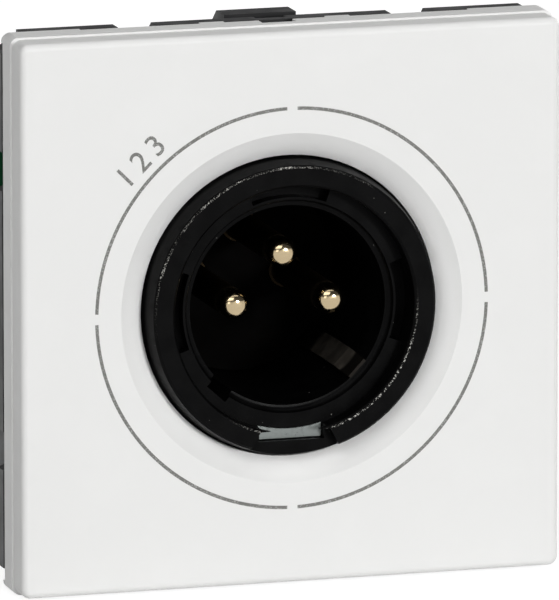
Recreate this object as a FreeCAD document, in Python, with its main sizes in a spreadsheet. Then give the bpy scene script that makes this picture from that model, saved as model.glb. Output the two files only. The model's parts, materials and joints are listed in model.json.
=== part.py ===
import FreeCAD, Part
import math
import os
import Sketcher
from FreeCAD import Placement, Rotation, Vector

# A three-pin audio wall socket: a white 45 mm plate over a black mounting frame, with the round
# receptacle in the middle and a circuit board with screw terminals behind it.
# Millimetres, +Z up, +Y into the wall, the socket faces -Y. The origin is the middle of the plate
# on the plane where the frame's flange seats on the wall support.

SIZES = {
    # White cover plate
    "plate_side": 45.0,
    "cover_depth": 5.2,
    "cover_wall": 1.5,
    "cover_face": 1.5,
    "cover_corner": 0.75,
    "cover_edge": 0.55,
    "cover_step": 0.16,
    "dish_width": 1.95,
    "dish_depth": 1.2,
    "dish_bow": 12.0,
    "dish_wall": 1.1,
    "skirt_notch_depth": 0.5,
    "skirt_tooth_width": 2.0,
    "skirt_tooth_place": 5.2,
    "skirt_corner_width": 6.4,
    "pry_notch_width": 2.8,
    "pry_notch_reach": 1.1,
    "pry_notch_depth": 0.5,
    "snap_width": 7.0,
    "snap_reach": 0.55,
    "snap_rise": 0.9,
    "snap_back": 1.2,
    # Black mounting frame
    "flange_inset": 0.05,
    "flange_thick": 1.5,
    "flange_corner_cut": 1.6,
    "flange_gap_width": 2.5,
    "flange_gap_place": 11.3,
    "flange_gap_depth": 1.3,
    "flange_dip_depth": 0.7,
    "rim_height": 2.6,
    "rim_wall": 1.2,
    "cover_play": 0.15,
    "flange_lap": 3.1,
    "box_wall": 1.4,
    "box_corner": 1.5,
    "window_level": 8.0,
    "window_end": 1.2,
    "support_thick": 2.3,
    "clip_width": 6.0,
    "clip_rise": 2.9,
    "clip_flat": 2.2,
    "clip_ramp": 3.6,
    "clip_slot": 0.8,
    "clip_root": 1.6,
    "boss_radius": 2.6,
    "boss_inset": 3.6,
    # Receptacle shell
    "collar_wall": 1.75,
    "ledge_width": 1.85,
    "collar_proud": 0.9,
    "collar_play": 0.15,
    "collar_draft": 0.35,
    "collar_edge": 0.2,
    "ledge_depth": 1.7,
    "barrel_bore": 8.1,
    "barrel_wall": 1.7,
    "barrel_play": 0.15,
    "barrel_depth": 14.4,
    "lip_round": 0.55,
    "seat_depth": 1.3,
    "arc_slot_width": 1.1,
    "arc_slot_depth": 1.2,
    "arc_slot_half": 20.0,
    "key_width": 2.0,
    "key_angle": 228.0,
    "key_depth": 1.0,
    "key_length": 7.0,
    "latch_inner_half": 2.9,
    "latch_outer_half": 4.1,
    "latch_cut_depth": 1.1,
    "latch_lap": 0.15,
    "latch_foot": 0.95,
    "latch_half": 2.7,
    "ear_thick": 2.0,
    "ear_width": 6.4,
    "ear_reach": 6.0,
    # Insert, contacts and latch plate
    "shoulder_step": 0.7,
    "shoulder_back": 0.8,
    "part_play": 0.05,
    "insert_boss_step": 0.8,
    "pin_circle": 4.0,
    "pin_radius": 1.2,
    "pin_grip": 1.4,
    "pin_flat": 0.2,
    "pin_setback": 2.9,
    "pin_tail": 0.55,
    "tail_proud": 1.2,
    "tail_play": 0.1,
    "strip_width": 1.9,
    "strip_thick": 0.25,
    "strip_angle": -43.5,
    "strip_setback": 1.9,
    "strip_bulge": 0.75,
    "strip_rise": 2.3,
    "strip_flat": 3.9,
    "strip_inset": 0.12,
    "latch_thick": 0.5,
    "latch_play": 0.05,
    # Circuit board
    "board_inset": 0.4,
    "board_gap": 1.4,
    "board_thick": 1.6,
    "board_corner": 1.5,
    # Terminal block
    "pitch": 5.08,
    "block_end": 0.3,
    "block_height": 9.0,
    "block_place": 12.5,
    "head_recess": 0.975,
    "block_bevel": 1.2,
    "pole_wall": 0.88,
    "cage_height": 4.4,
    "closed_gap": 0.43,
    "cage_floor": 0.9,
    "cage_tapped": 1.6,
    "cage_side": 0.6,
    "cage_rest": 0.2,
    "cage_travel": 2.25,
    "cage_play": 0.15,
    "web_thick": 0.8,
    "bar_thick": 0.9,
    "bar_play": 0.12,
    "leg_width": 1.2,
    "leg_thick": 0.8,
    "leg_gap": 0.4,
    "entry_width": 3.0,
    # Screws
    "clamp_head_lap": 0.6,
    "clamp_head_height": 1.7,
    "clamp_shank_gap": 0.1,
    "clamp_play": 0.08,
    "fixing_head_radius": 2.1,
    "fixing_head_height": 1.25,
    "fixing_shank": 1.2,
    "fixing_reach": 6.0,
    "fixing_play": 0.02,
    "hole_play": 0.2,
    "slot_width": 0.6,
    "slot_depth": 0.6,
    "screw_edge": 0.35,
}

doc = FreeCAD.newDocument("xlr_wall_socket")
sheet = doc.addObject("Spreadsheet::Sheet", "Sizes")
for row, (alias, number) in enumerate(SIZES.items(), start=1):
    sheet.set(f"A{row}", alias)
    sheet.set(f"B{row}", str(number))
    sheet.setAlias(f"B{row}", alias)
doc.recompute()


class Size:
    """A number together with the sheet expression that it comes from."""

    def __init__(self, number, text):
        self.number = number
        self.text = text

    def joined(self, other, sign, number):
        text = other.text if isinstance(other, Size) else str(other)
        return Size(number, f"({self.text} {sign} {text})")

    def __float__(self):
        return float(self.number)

    def __add__(self, other):
        return self.joined(other, "+", self.number + float(other))

    def __sub__(self, other):
        return self.joined(other, "-", self.number - float(other))

    def __mul__(self, other):
        return self.joined(other, "*", self.number * float(other))

    def __truediv__(self, other):
        return self.joined(other, "/", self.number / float(other))

    def __neg__(self):
        return Size(-self.number, f"(0 - {self.text})")


def size(alias):
    """The sheet's value of that name."""
    return Size(float(sheet.get(alias)), f"Sizes.{alias}")


def sine(angle):
    """Sine of an angle in degrees."""
    return Size(math.sin(math.radians(float(angle))), f"sin({angle.text} * 1 deg)")


def cosine(angle):
    """Cosine of an angle in degrees."""
    return Size(math.cos(math.radians(float(angle))), f"cos({angle.text} * 1 deg)")


def bind(thing, path, value):
    """Ties a property to a size, or sets a plain number."""
    if isinstance(value, Size):
        thing.setExpression(path, value.text)
    else:
        thing.setExpression(path, str(value))


ZERO = Size(0.0, "0")
DIAGONAL = Size(45.0, "45")

# Widths that follow from one another, from the barrel outwards and across a terminal
collar_bore = size("barrel_bore") + size("ledge_width")
collar_radius = collar_bore + size("collar_wall")
collar_foot = collar_radius + size("collar_draft")
collar_hole = collar_foot + size("collar_play")
barrel_outer = size("barrel_bore") + size("barrel_wall")
seat_radius = size("barrel_bore") + size("shoulder_step")
ear_place = (collar_radius + size("ear_reach")) * cosine(DIAGONAL)
strip_radius = size("barrel_bore") - size("strip_inset")
box_side = size("plate_side") - size("flange_lap") * 2
boss_place = box_side / 2 - size("boss_inset")
cage_width = size("pitch") - size("pole_wall") - size("cage_play") * 2
clamp_shank = cage_width / 2 - size("cage_side") - size("clamp_shank_gap")
clamp_head = clamp_shank + size("clamp_head_lap")

# Levels along Y, from the front of the collar to the backs of the screw terminals
face_level = -(size("flange_thick") + size("cover_depth"))
skirt_level = -size("flange_thick")
step_level = skirt_level - size("cover_depth") / 2
collar_level = face_level - size("collar_proud")
dish_level = face_level + size("dish_depth")
ledge_level = collar_level + size("ledge_depth")
floor_level = ledge_level + size("barrel_depth")
shoulder_level = floor_level + size("shoulder_back")
shell_back = shoulder_level + size("seat_depth")
ear_level = skirt_level - size("ear_thick")
board_level = shell_back + size("board_gap")
board_back = board_level + size("board_thick")
tail_level = board_back + size("tail_proud")
cage_level = board_back + size("cage_rest")
entry_front = cage_level + size("cage_floor")
bar_level = entry_front + size("cage_travel") + size("closed_gap")
bar_back = bar_level + size("bar_thick")
cage_back = bar_back + size("bar_play") + size("cage_tapped")
web_level = cage_back + size("cage_travel") + size("cage_play") / 2
seat_level = web_level + size("web_thick")
block_back = seat_level + size("clamp_head_height") + size("head_recess")
pole_level = -size("block_place")
leg_place = pole_level + size("cage_height") / 2 + size("leg_gap") + size("leg_thick") / 2


def fresh_body(label):
    """An empty body whose label names its file."""
    body = doc.addObject("PartDesign::Body", label)
    body.Label = label
    return body


def sketch_on(body, role, level=ZERO, turn=None):
    """A sketch on one of the body's origin planes, moved along the plane's normal."""
    sketch = body.newObject("Sketcher::SketchObject", f"{body.Name}_sketch")
    plane = next(item for item in body.Origin.OriginFeatures if item.Role == role)
    sketch.AttachmentSupport = (plane, [""])
    sketch.MapMode = "FlatFace"
    bind(sketch, "AttachmentOffset.Base.z", level)
    if turn is not None:
        sketch.AttachmentOffset = Placement(Vector(0, 0, 0), Rotation(Vector(0, 0, 1), float(turn)))
        bind(sketch, "AttachmentOffset.Rotation.Angle", turn)
        bind(sketch, "AttachmentOffset.Base.z", level)
    return sketch


def front_sketch(body, level, turn=None):
    """A sketch seen from the front, with X to the right and Z up, at a level along Y."""
    return sketch_on(body, "XZ_Plane", -level, turn)


def tie_point(sketch, geometry, position, across, up):
    """Ties one point of a sketch to the sheet by its two coordinates."""
    for kind, value in (("DistanceX", across), ("DistanceY", up)):
        rule = Sketcher.Constraint(kind, -1, 1, geometry, position, float(value))
        index = sketch.addConstraint(rule)
        if isinstance(value, Size):
            sketch.setExpression(f"Constraints[{index}]", value.text)


def tie_radius(sketch, geometry, value):
    """Ties a circle's or an arc's radius to the sheet."""
    index = sketch.addConstraint(Sketcher.Constraint("Radius", geometry, float(value)))
    sketch.setExpression(f"Constraints[{index}]", value.text)


def bowed_arc(first, last, radius, side):
    """A short arc between two points. It bows to the left of the way from first to last if side is 1."""
    chord = last - first
    half = chord.Length / 2
    across = Vector(-chord.y, chord.x, 0).normalize()
    centre = (first + last) / 2 - across * (math.sqrt(max(radius * radius - half * half, 0.0)) * side)
    start, end = (last, first) if side > 0 else (first, last)
    low = math.atan2(start.y - centre.y, start.x - centre.x)
    high = math.atan2(end.y - centre.y, end.x - centre.x)
    if high < low:
        high += 2 * math.pi
    return Part.ArcOfCircle(Part.Circle(centre, Vector(0, 0, 1), radius), low, high)


def outline(sketch, points, arcs=None):
    """A closed outline through tied points. arcs maps a side's number to its radius and its bow:
    1 to the left of the way round, -1 to the right."""
    arcs = arcs or {}
    corners = [Vector(float(across), float(up), 0) for across, up in points]
    ends = []
    for number, first in enumerate(corners):
        last = corners[(number + 1) % len(corners)]
        if number in arcs:
            radius, side = arcs[number]
            geometry = sketch.addGeometry(bowed_arc(first, last, float(radius), side), False)
            ends.append((geometry, 2, 1) if side > 0 else (geometry, 1, 2))
        else:
            geometry = sketch.addGeometry(Part.LineSegment(first, last), False)
            ends.append((geometry, 1, 2))
    for number, (geometry, first_end, last_end) in enumerate(ends):
        following, following_first, _ = ends[(number + 1) % len(ends)]
        joint = Sketcher.Constraint("Coincident", geometry, last_end, following, following_first)
        sketch.addConstraint(joint)
    for number, (across, up) in enumerate(points):
        geometry, first_end, _ = ends[number]
        tie_point(sketch, geometry, first_end, across, up)
    for number, (radius, _) in arcs.items():
        tie_radius(sketch, ends[number][0], radius)
    return sketch


def rectangle(sketch, across, up, width, height):
    """A rectangle about a middle point."""
    left, right = across - width / 2, across + width / 2
    low, high = up - height / 2, up + height / 2
    return outline(sketch, [(left, low), (right, low), (right, high), (left, high)])


def rounded_square(sketch, side, corner):
    """A square about the sketch's origin with rounded corners."""
    edge = side / 2
    inner = edge - corner
    points = [
        (-inner, -edge), (inner, -edge), (edge, -inner), (edge, inner),
        (inner, edge), (-inner, edge), (-edge, inner), (-edge, -inner),
    ]
    return outline(sketch, points, {number: (corner, -1) for number in (1, 3, 5, 7)})


def circle(sketch, across, up, radius):
    """A circle about a tied middle point."""
    shape = Part.Circle(Vector(float(across), float(up), 0), Vector(0, 0, 1), float(radius))
    geometry = sketch.addGeometry(shape, False)
    tie_point(sketch, geometry, 3, across, up)
    tie_radius(sketch, geometry, radius)
    return sketch


def sector(sketch, low, high, half_angle):
    """A piece of a ring about the sketch's right-hand axis."""
    turn, lift = cosine(half_angle), sine(half_angle)
    points = [
        (low * turn, -(low * lift)), (high * turn, -(high * lift)),
        (high * turn, high * lift), (low * turn, low * lift),
    ]
    return outline(sketch, points, {1: (high, -1), 3: (low, 1)})


def feature(body, kind, sketch):
    """A feature of the body made from a sketch."""
    item = body.newObject(f"PartDesign::{kind}", f"{body.Name}_{kind.lower()}")
    item.Profile = sketch
    sketch.Visibility = False
    return item


def checked(body, item, adds):
    """Recomputes and makes sure that the feature changed the solid the way it should."""
    before = item.BaseFeature.Shape.Volume if item.BaseFeature else 0.0
    doc.recompute()
    gained = item.Shape.Volume - before
    if "Invalid" in item.State or gained * adds <= 0:
        raise RuntimeError(f"{body.Label}: {item.Label} changed the volume by {gained:.4f}")
    return item


def pad(body, sketch, length):
    """Grows a front sketch towards the wall."""
    item = feature(body, "Pad", sketch)
    item.Reversed = True
    bind(item, "Length", length)
    return checked(body, item, 1)


def pad_both_ways(body, sketch, length):
    """Grows a sketch equally to both sides of its plane."""
    item = feature(body, "Pad", sketch)
    item.Midplane = True
    bind(item, "Length", length)
    return checked(body, item, 1)


def pocket(body, sketch, depth):
    """Cuts a front sketch towards the wall."""
    item = feature(body, "Pocket", sketch)
    bind(item, "Length", depth)
    return checked(body, item, -1)


def turned(body, sketch):
    """Turns a profile about the body's Y axis."""
    item = feature(body, "Revolution", sketch)
    item.ReferenceAxis = (sketch, ["V_Axis"])
    item.Angle = 360
    return checked(body, item, 1)


def grooved(body, sketch):
    """Cuts a profile turned about the body's Y axis."""
    item = feature(body, "Groove", sketch)
    item.ReferenceAxis = (sketch, ["V_Axis"])
    item.Angle = 360
    return checked(body, item, -1)


def round_pattern(body, item, count, adds):
    """Repeats a feature evenly about the body's Y axis."""
    pattern = body.newObject("PartDesign::PolarPattern", f"{body.Name}_pattern")
    axis = next(part for part in body.Origin.OriginFeatures if part.Role == "Y_Axis")
    pattern.Originals = [item]
    pattern.Axis = (axis, [""])
    pattern.Angle = 360
    pattern.Occurrences = count
    body.Tip = pattern
    before = item.Shape.Volume
    doc.recompute()
    if "Invalid" in pattern.State or (pattern.Shape.Volume - before) * adds <= 0:
        raise RuntimeError(f"{body.Label}: {pattern.Label} repeated nothing")
    return pattern


def round_edges(body, radius, wanted):
    """Rounds the edges of the body's last feature that pass a test."""
    base = body.Tip
    names = [f"Edge{n}" for n, edge in enumerate(base.Shape.Edges, start=1) if wanted(edge)]
    if not names:
        raise RuntimeError(f"{body.Label}: no edge to round")
    item = body.newObject("PartDesign::Fillet", f"{body.Name}_rounding")
    item.Base = (base, names)
    bind(item, "Radius", radius)
    return checked(body, item, -1)


def lies_at(edge, level):
    """True where a whole edge lies at one level along Y."""
    box = edge.BoundBox
    return abs(box.YMin - float(level)) < 1e-4 and abs(box.YMax - float(level)) < 1e-4


# White cover plate: a square cap with a stepped skirt and a dish around the collar

def cover_plate():
    body = fresh_body("cover_plate")
    side = size("plate_side")
    face_side = side - size("cover_step") * 2
    half_depth = size("cover_depth") / 2
    inner_side = side - size("cover_wall") * 2
    dish_radius = collar_hole + size("dish_width")
    pad(body, rounded_square(front_sketch(body, step_level), side, size("cover_corner")), half_depth)
    pad(body, rounded_square(front_sketch(body, face_level), face_side, size("cover_corner")), half_depth)
    round_edges(body, size("cover_edge"), lambda edge: lies_at(edge, face_level))

    # The hollow behind the face, which leaves the skirt standing
    hollow_level = face_level + size("cover_face")
    inner_corner = size("cover_corner") / 2
    hollow = rounded_square(front_sketch(body, hollow_level), inner_side, inner_corner)
    pocket(body, hollow, size("cover_depth") - size("cover_face"))

    # The back of the dish stands behind the face as a ring
    ring = sketch_on(body, "XY_Plane")
    ring_out = dish_radius + size("dish_wall") / 2
    ring_back = dish_level + size("dish_wall")
    buried = hollow_level - size("cover_face") / 2
    outline(ring, [(collar_hole, buried), (ring_out, buried), (ring_out, hollow_level),
                   (collar_hole, ring_back)])
    turned(body, ring)

    # The dish itself falls from the face to the collar in a hollow curve
    dish = sketch_on(body, "XY_Plane")
    air = face_level - size("dish_depth")
    inside = collar_hole / 2
    points = [(inside, air), (dish_radius, air), (dish_radius, face_level), (collar_hole, dish_level),
              (inside, dish_level)]
    outline(dish, points, {2: (size("dish_bow"), 1)})
    grooved(body, dish)
    middle = circle(front_sketch(body, face_level), ZERO, ZERO, collar_hole)
    pocket(body, middle, size("cover_depth"))

    # Shallow recesses along the skirt's back edge leave a tooth each side of the middle at the top
    # and bottom, and nothing but the corners at the sides
    tooth_in = size("skirt_tooth_place") - size("skirt_tooth_width") / 2
    tooth_out = size("skirt_tooth_place") + size("skirt_tooth_width") / 2
    corner_in = side / 2 - size("skirt_corner_width")
    recess_level = skirt_level - size("skirt_notch_depth")
    for start, end in ((-corner_in, -tooth_out), (-tooth_in, tooth_in), (tooth_out, corner_in)):
        wide = end - start
        recess = front_sketch(body, recess_level)
        rectangle(recess, (start + end) / 2, side / 2, wide, size("cover_wall") * 2)
        round_pattern(body, pocket(body, recess, size("skirt_notch_depth")), 2, -1)
    straight = side - size("cover_corner") * 2
    side_recess = rectangle(
        front_sketch(body, recess_level), side / 2, ZERO, size("cover_wall") * 2, straight)
    round_pattern(body, pocket(body, side_recess, size("skirt_notch_depth")), 2, -1)

    # A notch in the middle of the top takes the blade that prises the cover off
    pry = rectangle(
        front_sketch(body, recess_level - size("pry_notch_reach")), ZERO, side / 2,
        size("pry_notch_width"), size("pry_notch_depth") * 2)
    pocket(body, pry, size("pry_notch_reach") + size("skirt_notch_depth"))

    # A wedge inside each wall snaps into the frame's rim
    inner = inner_side / 2
    snap_level = recess_level - size("snap_back")
    wedge = sketch_on(body, "YZ_Plane")
    wedge_back = snap_level + size("snap_rise")
    tip = inner - size("snap_reach")
    outline(wedge, [(snap_level, inner + size("snap_reach")), (snap_level, tip),
                    (wedge_back, inner + size("snap_reach"))])
    round_pattern(body, pad_both_ways(body, wedge, size("snap_width")), 4, 1)
    return body


# Black mounting frame: the flange, the rim inside the cover, and the box in the wall

def mounting_frame():
    body = fresh_body("mounting_frame")
    flange_side = size("plate_side") - size("flange_inset") * 2
    rim_side = size("plate_side") - size("cover_wall") * 2 - size("cover_play") * 2
    rim_inner = rim_side - size("rim_wall") * 2
    rim_level = skirt_level - size("rim_height")
    box_inner = box_side - size("box_wall") * 2
    corner = size("box_corner")
    pad(body, rounded_square(front_sketch(body, skirt_level), flange_side, size("cover_corner")),
        size("flange_thick"))
    pad(body, rounded_square(front_sketch(body, rim_level), rim_side, corner / 2), size("rim_height"))
    pocket(body, rounded_square(front_sketch(body, rim_level), rim_inner, corner / 2), size("rim_height"))
    pad(body, rounded_square(front_sketch(body, ZERO), box_side, corner), board_level)
    pocket(body, rounded_square(front_sketch(body, ZERO), box_inner, corner / 2), board_level)

    # Bosses for the four board screws and the two receptacle screws
    pilot = size("fixing_shank") + size("fixing_play")
    for across, up in boss_places():
        pad(body, circle(front_sketch(body, ZERO), across, up, size("boss_radius")), board_level)
        drill_level = board_level - size("fixing_reach")
        pocket(body, circle(front_sketch(body, drill_level), across, up, pilot), size("fixing_reach"))
    short_boss = size("fixing_reach") - size("ear_thick")
    for place in (-ear_place, ear_place):
        pad(body, circle(front_sketch(body, ZERO), place, place, size("boss_radius")), short_boss)
        pocket(body, circle(front_sketch(body, skirt_level), place, place, pilot),
               short_boss + size("flange_thick"))

    # The barrel's way through the web
    way = circle(front_sketch(body, skirt_level), ZERO, ZERO, barrel_outer + size("barrel_play"))
    pocket(body, way, size("flange_thick"))

    # Gaps between the flange's tabs, and a shallow dip in the middle of each side
    edge = flange_side / 2
    for place in (-size("flange_gap_place"), size("flange_gap_place")):
        low = edge - size("flange_gap_depth")
        half = size("flange_gap_width") / 2
        flare = size("flange_gap_depth") / 2
        gap = front_sketch(body, skirt_level)
        outline(gap, [(place - half, low), (place + half, low), (place + half, edge - flare),
                      (place + half + flare, edge + flare), (place - half - flare, edge + flare),
                      (place - half, edge - flare)])
        round_pattern(body, pocket(body, gap, size("flange_thick")), 4, -1)
    dip = rectangle(
        front_sketch(body, -size("flange_dip_depth")), ZERO, edge,
        size("flange_gap_width"), size("flange_gap_depth") * 2)
    round_pattern(body, pocket(body, dip, size("flange_dip_depth")), 4, -1)

    # Windows in the rim take the cover's wedges
    snap_level = skirt_level - size("skirt_notch_depth") - size("snap_back") - size("part_play")
    window = rectangle(
        front_sketch(body, snap_level), ZERO, rim_side / 2,
        size("snap_width") + size("cover_play") * 2, size("rim_wall") * 4)
    window_depth = size("snap_rise") + size("part_play") + size("cover_play")
    round_pattern(body, pocket(body, window, window_depth), 4, -1)

    # The flange leaves out its corners
    cut = size("flange_corner_cut") * 2
    corner_cut = rectangle(front_sketch(body, skirt_level), edge, edge, cut, cut)
    round_pattern(body, pocket(body, corner_cut, size("flange_thick")), 4, -1)

    # A long window in each side wall, between the bosses
    window_half = boss_place - size("boss_radius") - size("window_end")
    side_window = rectangle(
        front_sketch(body, size("window_level")), box_side / 2, ZERO,
        size("box_wall") * 4, window_half * 2)
    round_pattern(body, pocket(body, side_window, board_level - size("window_level")), 2, -1)

    # A spring clip on the top and bottom walls holds the frame in the support
    wall = box_side / 2
    clip = sketch_on(body, "YZ_Plane")
    front = size("support_thick")
    flat = front + size("clip_flat")
    end = flat + size("clip_ramp")
    buried = wall - size("box_wall") / 2
    outline(clip, [(front, buried), (end, buried), (end, wall), (flat, wall + size("clip_rise")),
                   (front, wall + size("clip_rise"))])
    round_pattern(body, pad_both_ways(body, clip, size("clip_width")), 2, 1)
    for side in (-1, 1):
        slot_place = (size("clip_width") + size("clip_slot")) / 2 * side
        slot = rectangle(
            front_sketch(body, size("clip_root")), slot_place, wall, size("clip_slot"), size("box_wall") * 2)
        round_pattern(body, pocket(body, slot, board_level - size("clip_root")), 2, -1)
    return body


def boss_places():
    """Middles of the four bosses that carry the board."""
    return [(boss_place * x_sign, boss_place * z_sign) for x_sign in (-1, 1) for z_sign in (-1, 1)]


# Receptacle shell: the round collar, the barrel behind it and two ears for its screws

def receptacle_shell():
    body = fresh_body("receptacle_shell")
    inside = size("barrel_bore") / 2
    air = collar_level - size("collar_proud")

    # One bar from corner to corner makes both ears, with ends rounded about the screws
    bar = front_sketch(body, ear_level, DIAGONAL)
    bar_length = (collar_radius + size("ear_reach")) * 2
    pad(body, rectangle(bar, ZERO, ZERO, bar_length, size("ear_width")), size("ear_thick"))
    for place in (-ear_place, ear_place):
        ear = circle(front_sketch(body, ear_level), place, place, size("ear_width") / 2)
        pad(body, ear, size("ear_thick"))
    solid = sketch_on(body, "XY_Plane")
    edge = size("collar_edge")
    outline(solid, [(ZERO, collar_level), (collar_radius - edge, collar_level),
                    (collar_radius, collar_level + edge), (collar_foot, dish_level),
                    (collar_foot, skirt_level),
                    (barrel_outer, skirt_level), (barrel_outer, shell_back), (ZERO, shell_back)])
    turned(body, solid)
    bore = sketch_on(body, "XY_Plane")
    end = shell_back + size("shoulder_step")
    rounding = size("lip_round")
    points = [(ZERO, air), (collar_bore + edge, air), (collar_bore + edge, collar_level),
              (collar_bore, collar_level + edge), (collar_bore, ledge_level),
              (size("barrel_bore") + rounding, ledge_level), (size("barrel_bore"), ledge_level + rounding),
              (size("barrel_bore"), shoulder_level), (seat_radius, shoulder_level),
              (seat_radius, end), (ZERO, end)]
    outline(bore, points, {5: (rounding, -1)})
    grooved(body, bore)

    # Three arc slots in the ledge, at the left, the top and the right
    for turn in (0.0, 90.0, 180.0):
        slot = front_sketch(body, ledge_level, Size(turn, str(turn)))
        sector(slot, collar_bore - size("arc_slot_width"), collar_bore, size("arc_slot_half"))
        pocket(body, slot, size("arc_slot_depth"))

    # The key groove in the barrel's wall
    key = front_sketch(body, ledge_level, size("key_angle"))
    key_out = size("barrel_bore") + size("key_depth")
    rectangle(key, (inside + key_out) / 2, ZERO, key_out - inside, size("key_width"))
    pocket(body, key, size("key_length"))

    # The latch cut at the bottom of the collar, flared outwards, and the pocket of the latch plate
    latch = front_sketch(body, collar_level)
    inner, wide = size("latch_inner_half"), size("latch_outer_half")
    top, low = -(collar_bore - edge), -(collar_radius + edge)
    outline(latch, [(-wide, low), (wide, low), (inner, top), (-inner, top)])
    pocket(body, latch, size("latch_cut_depth"))
    pocket_level = collar_level + size("latch_cut_depth") / 2
    plate = front_sketch(body, pocket_level)
    latch_outline(plate, ZERO)
    pocket(body, plate, skirt_level - pocket_level)

    # Screw holes in the ears
    for place in (-ear_place, ear_place):
        hole = circle(front_sketch(body, ear_level), place, place, size("fixing_shank") + size("hole_play"))
        pocket(body, hole, size("ear_thick"))
    return body


def latch_outline(sketch, play):
    """The latch pocket seen from the front: curved along the barrel, straight below."""
    half = size("latch_half") - play
    radius = collar_bore - size("latch_lap") + play
    drop = collar_radius - size("latch_foot") - play
    shoulder = radius * cosine(Size(15.0, "15"))
    points = [(-half, -drop), (half, -drop), (half, -shoulder), (-half, -shoulder)]
    return outline(sketch, points, {2: (radius, 1)})


# Insert that carries the contacts

def contact_insert():
    body = fresh_body("contact_insert")
    neck = size("barrel_bore") - size("part_play")
    seat = seat_radius - size("part_play")
    boss = size("barrel_bore") - size("insert_boss_step")
    disc = sketch_on(body, "XY_Plane")
    outline(disc, [(ZERO, floor_level), (neck, floor_level), (neck, shoulder_level),
                   (seat, shoulder_level), (seat, shell_back), (boss, shell_back), (boss, board_level),
                   (ZERO, board_level)])
    turned(body, disc)
    thick = board_level - floor_level
    for across, up in pin_places():
        bore = circle(front_sketch(body, floor_level), across, up, size("pin_grip") + size("fixing_play"))
        pocket(body, bore, thick)
    slit = front_sketch(body, floor_level, size("strip_angle"))
    inside = strip_radius - size("strip_thick") - size("tail_play")
    wide = size("strip_width") + size("tail_play")
    rectangle(slit, (inside + seat_radius) / 2, ZERO, seat_radius - inside, wide)
    pocket(body, slit, thick)
    return body


def pin_places():
    """Middles of the contact pins: right, left and top, as numbered from the front."""
    ring = size("pin_circle")
    return [(ring, ZERO), (-ring, ZERO), (ZERO, ring)]


def contact_pin(number, across, up):
    """A turned pin with a domed tip, a thicker grip in the insert and a thin tail for the board."""
    body = fresh_body(f"contact_pin_{number}")
    radius = size("pin_radius")
    tip = collar_level + size("pin_setback")
    tail = size("pin_tail")
    profile = sketch_on(body, "XY_Plane")
    grip = size("pin_grip")
    flat = size("pin_flat")
    dome = radius - flat
    points = [(ZERO, tip), (flat, tip), (radius, tip + dome), (radius, floor_level), (grip, floor_level),
              (grip, board_level), (tail, board_level), (tail, tail_level), (ZERO, tail_level)]
    outline(profile, points, {1: (dome, -1)})
    turned(body, profile)
    place_body(body, across, ZERO, up)
    return body


def place_body(body, across, deep, up):
    """Moves a whole body to its place."""
    bind(body, "Placement.Base.x", across)
    bind(body, "Placement.Base.y", deep)
    bind(body, "Placement.Base.z", up)


def ground_contact():
    """A leaf spring along the barrel's wall, its middle bent inwards, with a tail for the board."""
    body = fresh_body("ground_contact")
    out = strip_radius
    thick = size("strip_thick")
    bulge = size("strip_bulge")
    front = collar_level + size("strip_setback")
    first = front + size("strip_rise")
    second = first + size("strip_flat")
    leaf = sketch_on(body, "YZ_Plane")
    outline(leaf, [(front, out - thick), (first, out - thick - bulge), (second, out - thick - bulge),
                   (floor_level, out - thick), (board_level, out - thick), (board_level, out),
                   (floor_level, out), (second, out - bulge), (first, out - bulge), (front, out)])
    pad_both_ways(body, leaf, size("strip_width"))
    tail = sketch_on(body, "YZ_Plane")
    deep = (board_level + tail_level) / 2
    rectangle(tail, deep, out - thick / 2, tail_level - board_level, thick)
    pad_both_ways(body, tail, size("leg_width"))
    turn = size("strip_angle") * -1 + 90
    body.Placement = Placement(Vector(0, 0, 0), Rotation(Vector(0, 1, 0), float(turn)))
    bind(body, "Placement.Rotation.Angle", turn)
    return body


def latch_plate():
    """The plated catch at the bottom of the collar, with a leg that runs back in its pocket."""
    body = fresh_body("latch_plate")
    play = size("latch_play")
    face = front_sketch(body, ledge_level)
    latch_outline(face, play)
    pad(body, face, size("latch_thick"))
    leg = front_sketch(body, ledge_level)
    drop = collar_radius - size("latch_foot") - play
    half = size("latch_half") - play
    rectangle(leg, ZERO, -(drop - size("latch_thick") / 2), half * 2, size("latch_thick"))
    pad(body, leg, skirt_level - ledge_level)
    return body


# Circuit board

def circuit_board():
    body = fresh_body("circuit_board")
    thick = size("board_thick")
    board = front_sketch(body, board_level)
    pad(body, rounded_square(board, box_side - size("board_inset") * 2, size("board_corner")), thick)
    hole = size("pin_tail") + size("tail_play")
    for across, up in pin_places():
        pocket(body, circle(front_sketch(body, board_level), across, up, hole), thick)
    clear = size("fixing_shank") + size("hole_play")
    for across, up in boss_places():
        pocket(body, circle(front_sketch(body, board_level), across, up, clear), thick)
    slit = front_sketch(body, board_level, size("strip_angle"))
    middle = strip_radius - size("strip_thick") / 2
    rectangle(slit, middle, ZERO, size("strip_thick") + size("tail_play") * 2,
              size("leg_width") + size("tail_play") * 2)
    pocket(body, slit, thick)
    for number in range(4):
        leg = front_sketch(body, board_level)
        rectangle(leg, pole_place(number), leg_place, size("leg_width") + size("tail_play") * 2,
                  size("leg_thick") + size("tail_play") * 2)
        pocket(body, leg, thick)
    return body


def pole_place(number):
    """Middle of one terminal along X, counted from 0 at the left seen from the front."""
    return size("pitch") * (number - 1.5)


# Terminal block and what is in each of its poles, as boxes and rods

def box_solid(name, low, high):
    """A box between two corners."""
    box = doc.addObject("Part::Box", name)
    for axis, length, start, end in zip("xyz", ("Length", "Width", "Height"), low, high):
        bind(box, length, end - start)
        bind(box, f"Placement.Base.{axis}", start)
    return box


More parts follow.
